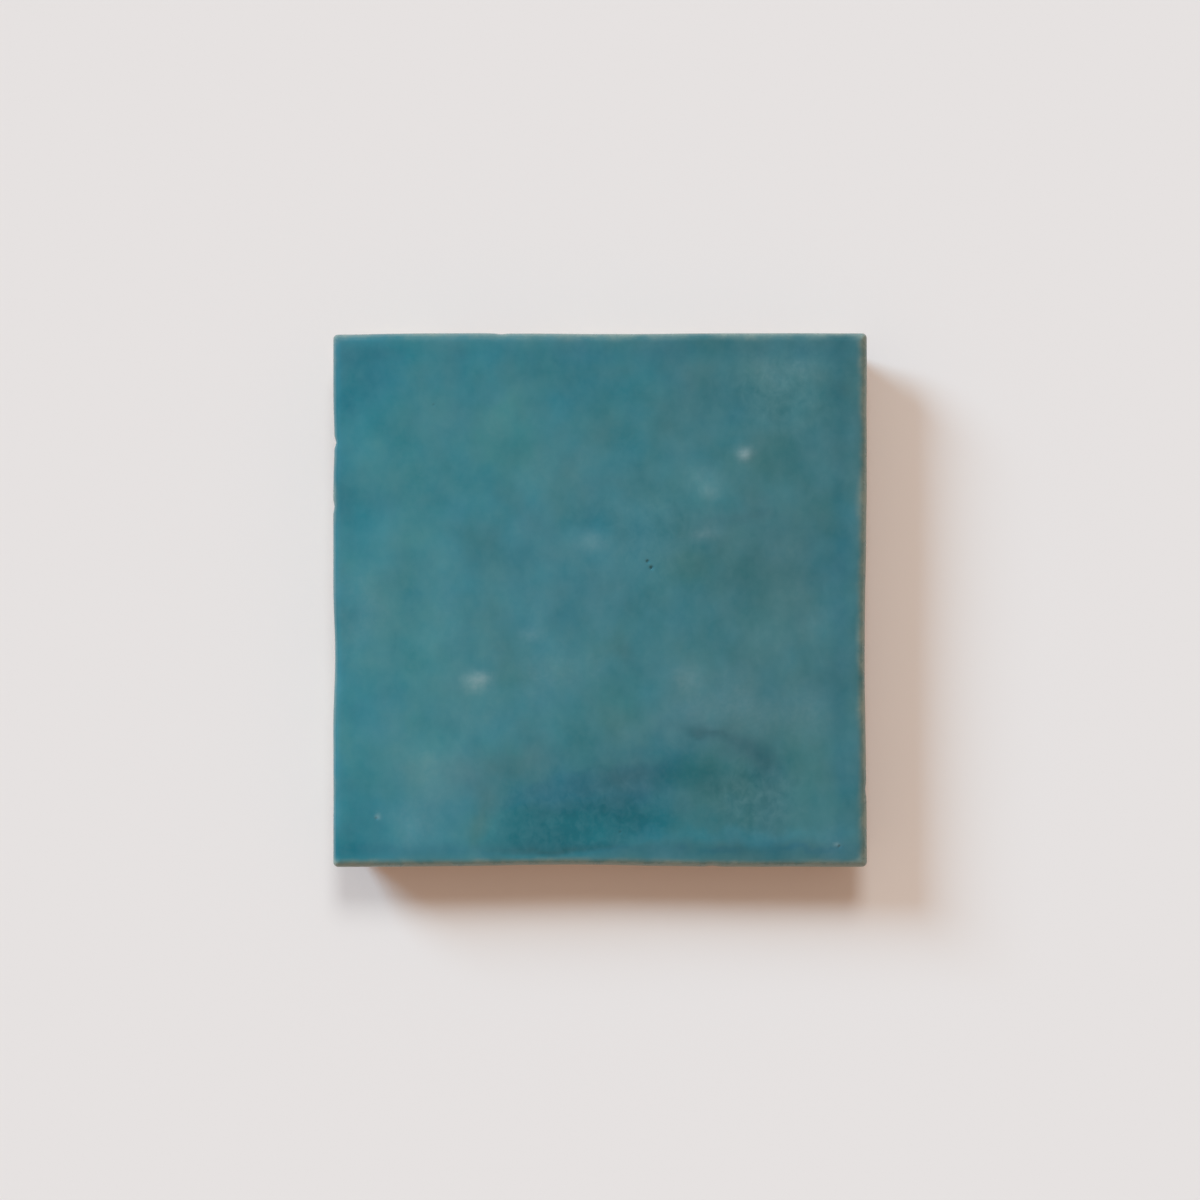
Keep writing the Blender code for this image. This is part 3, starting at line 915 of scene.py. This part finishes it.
def shape_tile(bm):
    """Carries each point of the block to the tile, and keeps what the materials need to know with it."""
    layers = {name: bm.verts.layers.float.new(name) for name in (*Glaze._fields, "hollow", "stain")}
    row_layer = bm.verts.layers.int.new("row")
    for vert in bm.verts:
        shares = 2 * vert.co.x, 2 * vert.co.y
        row = round((0.5 - vert.co.z) * SIDE_ROWS)
        vert[row_layer] = row
        if row == 0:
            vert.co, glaze = place_on_face(*shares)
            values = glaze._asdict()
        else:
            point = place_on_bed(*shares) if row == SIDE_ROWS else place_on_side(*shares, row)
            vert.co = point.place
            values = {**point._asdict(), "green": USUAL_GREEN}
            del values["place"]
        for name, value in values.items():
            vert[layers[name]] = value
    for face in bm.faces:
        lowest_row = max(vert[row_layer] for vert in face.verts)
        face.material_index = GLAZED if lowest_row <= SKIRT_ROWS + LIP_ROWS else BARE
        face.smooth = True


shape_tile(block)
print("face is", round(max(vert.co.z for vert in block.verts) / MM, 2), "mm high")

# %% Make the object
tile_mesh = bpy.data.meshes.new("zellige")
block.to_mesh(tile_mesh)
block.free()
tile = bpy.data.objects.new("zellige", tile_mesh)
bpy.context.scene.collection.objects.link(tile)
print("tile:", sum(len(face.vertices) - 2 for face in tile_mesh.polygons), "triangles")

# %% [markdown]
# ## Glaze
# Alkaline copper glaze over buff clay: a glass with an index near 1.5, smooth from the fire, so it
# mirrors its surroundings faintly from above and strongly at a low angle. Its colour runs over two
# ramps, one for glaze that stayed blue and one for glaze that iron has warmed. Both get deeper as the
# glaze does. Where it broke over the rim, the ragged skin that is left lets the clay show through.

# %% The two ramps of colour
glaze = bpy.data.materials.new("copper_glaze")
glaze.use_nodes = True
tree = glaze.node_tree
shader = tree.nodes["Principled BSDF"]
place = add(tree, "ShaderNodeTexCoord").outputs["Object"]
kept = {
    name: add(tree, "ShaderNodeAttribute", attribute_name=name).outputs["Fac"]
    for name in Glaze._fields
}
RAMPS = {
    "cool": ["#6D9E9E", "#2C818C", "#1C7787", "#0F6B7D", "#005E70", "#005260"],
    "warm": ["#799A8F", "#3F7981", "#326D77", "#26636D", "#12545E", "#004850"],
}
RAMP_PLACES = [0.00, 0.30, 0.45, 0.60, 0.80, 1.00]
print(len(RAMPS), "ramps of", len(RAMP_PLACES), "colours, steered by", ", ".join(kept))

# %% Mottling that is finer than the net, in three kinds of cloud
# The first kind is glaze that lies deeper. The second is milky glaze, which is also thinner. The third
# is warm glaze, which is also greener.
DRAWN_OUT = (1.0, 0.8, 1.0)
Mottle = namedtuple("Mottle", "size depth milk thinner warmth green")
MOTTLES = [
    Mottle(9.0, 0.12, 0.085, 0.05, 0.35, 0.6),
    Mottle(4.0, 0.09, 0.050, 0.03, 0.25, 0.4),
    Mottle(1.7, 0.04, 0.02, 0.01, 0.09, 0.1),
]

drawn_out = add(tree, "ShaderNodeMapping", {"Vector": place, "Scale": DRAWN_OUT}).outputs["Vector"]
values = {name: kept[name] for name in ("depth", "warmth", "green", "haze")}
for mottle in MOTTLES:
    cloud = add(
        tree, "ShaderNodeTexNoise",
        {"Vector": drawn_out, "Scale": 1 / (mottle.size * MM), "Detail": 0.0},
    )
    parts = add(tree, "ShaderNodeSeparateColor", {"Color": cloud.outputs["Color"]})
    shifts = (
        (0, "depth", mottle.depth), (1, "haze", mottle.milk), (1, "depth", -mottle.thinner),
        (2, "warmth", mottle.warmth), (2, "green", mottle.green),
    )
    for channel, name, amount in shifts:
        centred = add(tree, "ShaderNodeMath", {0: parts.outputs[channel], 1: 0.5}, operation="SUBTRACT")
        values[name] = add(
            tree, "ShaderNodeMath", {0: centred.outputs[0], 1: amount, 2: values[name]},
            operation="MULTIPLY_ADD",
        ).outputs[0]
print("mottling of", ", ".join(str(mottle.size) for mottle in MOTTLES), "mm")

# %% Curds: pebbles of deep clear and thin milky glaze, strong only where the glaze curdled
CURD_SIZE = 1.5 * MM
CURD_DEPTH = 0.34
CURD_MILK = -0.14
CURD_TWIST = 0.4

pebbles = add(
    tree, "ShaderNodeTexNoise",
    {"Vector": drawn_out, "Scale": 1 / CURD_SIZE, "Detail": 2.0, "Distortion": CURD_TWIST},
)
centred = add(tree, "ShaderNodeMath", {0: pebbles.outputs["Fac"], 1: 0.5}, operation="SUBTRACT")
strong = add(tree, "ShaderNodeMath", {0: kept["curd"], 1: centred.outputs[0]}, operation="MULTIPLY")
for name, amount in (("depth", CURD_DEPTH), ("haze", CURD_MILK)):
    values[name] = add(
        tree, "ShaderNodeMath", {0: strong.outputs[0], 1: amount, 2: values[name]},
        operation="MULTIPLY_ADD",
    ).outputs[0]
print("curds of", round(CURD_SIZE / MM, 1), "mm")

# %% From depth, warmth and green to colour
GREEN_TINT = "#F0FFF2"

colours = []
for stops in RAMPS.values():
    ramp = add(tree, "ShaderNodeValToRGB", {"Fac": values["depth"]})
    elements = ramp.color_ramp.elements
    while len(elements) < len(stops):
        elements.new(0.5)
    for element, position, colour in zip(elements, RAMP_PLACES, stops):
        element.position = position
        element.color = linear(colour)
    colours.append(ramp.outputs["Color"])
colour = add(
    tree, "ShaderNodeMix", {0: values["warmth"], 6: colours[0], 7: colours[1]}, data_type="RGBA"
).outputs[2]
colour = add(
    tree, "ShaderNodeMix", {0: values["green"], 6: colour, 7: linear(GREEN_TINT)}, data_type="RGBA",
    blend_type="MULTIPLY",
).outputs[2]
print(len(colours), "ramps mixed by warmth, and tinted", GREEN_TINT)

# %% Milk, which is clouds of tiny bubbles: a trace of it everywhere and much in the milky spots; the same pale tone paints the pimples' highlights and two glints by pinholes
MILK_AND_GLINT = "#A8B4B7"
TRACE = 0.05
BUBBLE_SIZE = 0.9 * MM

bubbles = add(tree, "ShaderNodeTexNoise", {"Vector": place, "Scale": 1 / BUBBLE_SIZE, "Detail": 1.0})
uneven = add(tree, "ShaderNodeMath", {0: bubbles.outputs["Fac"], 1: 0.5}, operation="ADD").outputs[0]
milk = add(
    tree, "ShaderNodeMath", {0: values["haze"], 1: uneven, 2: TRACE},
    operation="MULTIPLY_ADD", use_clamp=True,
)
colour = add(
    tree, "ShaderNodeMix", {0: milk.outputs[0], 6: colour, 7: linear(MILK_AND_GLINT)}, data_type="RGBA"
).outputs[2]
print("clouds of bubbles of", round(BUBBLE_SIZE / MM, 1), "mm")

# %% The rim, where a thin ragged skin of glaze lies over the clay: greyer, paler and less glossy
THIN_SKIN = "#859085"
ROUGH_SKIN = 0.45
ROUGH_GLAZE = 0.10
ROUGH_SPAN = (0.3, 0.9)
GLAZE_IOR = 1.5
SKIN_SIZE = 5.5 * MM
SKIN_SPAN = (0.3, 0.7)
SKIN_RAGGED = 0.68
SKIN_PATCHY = (0.55, 1.40)
SKIN_BORDER = (0.08, 1.00)
SKIN_MOST = 0.90

patchy = add(
    tree, "ShaderNodeTexNoise",
    {"Vector": place, "Scale": 1 / SKIN_SIZE, "Detail": 4.0, "Roughness": SKIN_RAGGED},
)
patchy = add(
    tree, "ShaderNodeMapRange",
    {
        "Value": patchy.outputs["Fac"], "From Min": SKIN_SPAN[0], "From Max": SKIN_SPAN[1],
        "To Min": SKIN_PATCHY[0], "To Max": SKIN_PATCHY[1],
    },
)
patchy = add(tree, "ShaderNodeMath", {0: patchy.outputs[0], 1: kept["bare"]}, operation="MULTIPLY")
skin = add(
    tree, "ShaderNodeMapRange",
    {
        "Value": patchy.outputs[0], "From Min": SKIN_BORDER[0], "From Max": SKIN_BORDER[1],
        "To Max": SKIN_MOST,
    },
    interpolation_type="SMOOTHSTEP",
)
colour = add(
    tree, "ShaderNodeMix", {0: skin.outputs[0], 6: colour, 7: linear(THIN_SKIN)}, data_type="RGBA"
).outputs[2]
tree.links.new(colour, shader.inputs["Base Color"])
roughness = add(
    tree, "ShaderNodeMapRange",
    {
        "Value": skin.outputs[0], "From Min": ROUGH_SPAN[0], "From Max": ROUGH_SPAN[1],
        "To Min": ROUGH_GLAZE, "To Max": ROUGH_SKIN,
    },
)
tree.links.new(roughness.outputs["Result"], shader.inputs["Roughness"])
shader.inputs["IOR"].default_value = GLAZE_IOR
print("copper glaze:", len(tree.nodes), "nodes")

# %% [markdown]
# ## Clay
# Buff earthenware, fired at a low heat: porous and dull, redder where the flame touched it. It holds
# crushed brick that shows as dark specks, and lime that shows as pale ones. The knife smeared it into
# fine lines, dust sits in the torn spots, and just under the lip the glaze has soaked in.

# %% The body of the clay, from buff to red and dusty in places
clay = bpy.data.materials.new("fired_clay")
clay.use_nodes = True
tree = clay.node_tree
shader = tree.nodes["Principled BSDF"]
place = add(tree, "ShaderNodeTexCoord").outputs["Object"]
BUFF = "#C4A68B"
Tone = namedtuple("Tone", "colour size low high amount")
TONES = [
    Tone("#B48A6E", 17, 0.42, 0.62, 0.75),
    Tone("#D8BFA4", 4.2, 0.50, 0.72, 0.60),
    Tone("#9F755B", 1.7, 0.56, 0.70, 0.45),
    Tone("#E0C8AC", 0.7, 0.54, 0.72, 0.40),
]

colour = linear(BUFF)
for tone in TONES:
    cloud = add(tree, "ShaderNodeTexNoise", {"Vector": place, "Scale": 1 / (tone.size * MM), "Detail": 3.0})
    strong = add(
        tree, "ShaderNodeMapRange",
        {"Value": cloud.outputs["Fac"], "From Min": tone.low, "From Max": tone.high, "To Max": tone.amount},
    )
    colour = add(
        tree, "ShaderNodeMix", {0: strong.outputs[0], 6: colour, 7: linear(tone.colour)}, data_type="RGBA"
    ).outputs[2]
print("clay in", len(TONES) + 1, "tones")

# %% Lines that the knife smeared, along the sides
SMEAR_LENGTH = 5 * MM
SMEAR_PITCH = 0.5 * MM
SMEAR = "#AA8164"
SMEAR_SPAN = (0.54, 0.72)
SMEAR_MOST = 0.4

stretched = add(
    tree, "ShaderNodeMapping",
    {"Vector": place, "Scale": (1 / SMEAR_LENGTH, 1 / SMEAR_LENGTH, 1 / SMEAR_PITCH)},
).outputs["Vector"]
smear = add(tree, "ShaderNodeTexNoise", {"Vector": stretched, "Scale": 1.0, "Detail": 2.0}).outputs["Fac"]
strong = add(
    tree, "ShaderNodeMapRange",
    {"Value": smear, "From Min": SMEAR_SPAN[0], "From Max": SMEAR_SPAN[1], "To Max": SMEAR_MOST},
)
colour = add(
    tree, "ShaderNodeMix", {0: strong.outputs[0], 6: colour, 7: linear(SMEAR)}, data_type="RGBA"
).outputs[2]
print("smeared lines", round(SMEAR_PITCH / MM, 1), "mm apart")

# %% Specks of brick and lime: cells of which most are left empty, with ragged borders
Speck = namedtuple("Speck", "colour spacing width kept amount")
SPECKS = [Speck("#7A4C36", 1.5, 0.26, 0.68, 0.60), Speck("#EBDCC4", 2.6, 0.15, 0.72, 0.70)]
RAGGED = 0.35 * MM
RAGGED_SIZE = 0.5 * MM

ragged = add(tree, "ShaderNodeTexNoise", {"Vector": place, "Scale": 1 / RAGGED_SIZE, "Detail": 1.0})
shift = add(
    tree, "ShaderNodeVectorMath", {0: ragged.outputs["Color"], 1: (RAGGED,) * 3, 2: place},
    operation="MULTIPLY_ADD",
).outputs[0]
for speck in SPECKS:
    cells = add(tree, "ShaderNodeTexVoronoi", {"Vector": shift, "Scale": 1 / (speck.spacing * MM)})
    inside = add(
        tree, "ShaderNodeMapRange",
        {"Value": cells.outputs["Distance"], "From Min": speck.width, "From Max": speck.width / 2},
    )
    pick = add(tree, "ShaderNodeSeparateColor", {"Color": cells.outputs["Color"]})
    filled = add(
        tree, "ShaderNodeMapRange",
        {"Value": pick.outputs[0], "From Min": speck.kept, "From Max": 1.0, "To Max": 2 * speck.amount},
    )
    strong = add(tree, "ShaderNodeMath", {0: inside.outputs[0], 1: filled.outputs[0]}, operation="MULTIPLY")
    colour = add(
        tree, "ShaderNodeMix", {0: strong.outputs[0], 6: colour, 7: linear(speck.colour)}, data_type="RGBA"
    ).outputs[2]
print("specks in cells of", [speck.spacing for speck in SPECKS], "mm")

# %% Dust in the torn spots, and the stain under the glaze
DUST_AND_STAIN = {"hollow": "#B08A6A", "stain": "#8D7560"}
DUST_AND_STAIN_MOST = 0.7
CLAY_ROUGHNESS = 0.92
CLAY_SHEEN = 0.3

for name, tone in DUST_AND_STAIN.items():
    share = add(tree, "ShaderNodeAttribute", attribute_name=name).outputs["Fac"]
    strong = add(tree, "ShaderNodeMath", {0: share, 1: DUST_AND_STAIN_MOST}, operation="MULTIPLY")
    colour = add(
        tree, "ShaderNodeMix", {0: strong.outputs[0], 6: colour, 7: linear(tone)}, data_type="RGBA"
    ).outputs[2]
tree.links.new(colour, shader.inputs["Base Color"])
shader.inputs["Roughness"].default_value = CLAY_ROUGHNESS
shader.inputs["Specular IOR Level"].default_value = CLAY_SHEEN

# %% Grit and fine drag lines in relief
GRIT_SIZE = 0.45 * MM
GRIT_RAGGED = 0.6
GRIT_HEIGHT = 0.12 * MM
SMEAR_HEIGHT = 0.10 * MM

grit = add(
    tree, "ShaderNodeTexNoise",
    {"Vector": place, "Scale": 1 / GRIT_SIZE, "Detail": 4.0, "Roughness": GRIT_RAGGED},
)
bump = add(
    tree, "ShaderNodeBump",
    {"Strength": 1.0, "Distance": GRIT_HEIGHT, "Height": grit.outputs["Fac"]},
)
bump = add(
    tree, "ShaderNodeBump",
    {"Strength": 1.0, "Distance": SMEAR_HEIGHT, "Height": smear, "Normal": bump.outputs["Normal"]},
)
tree.links.new(bump.outputs["Normal"], shader.inputs["Normal"])
print("fired clay:", len(tree.nodes), "nodes")

# %% Put the tile in the solid's place
tile_mesh.materials.append(glaze)
tile_mesh.materials.append(clay)
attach(tile, "root")
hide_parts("tile")
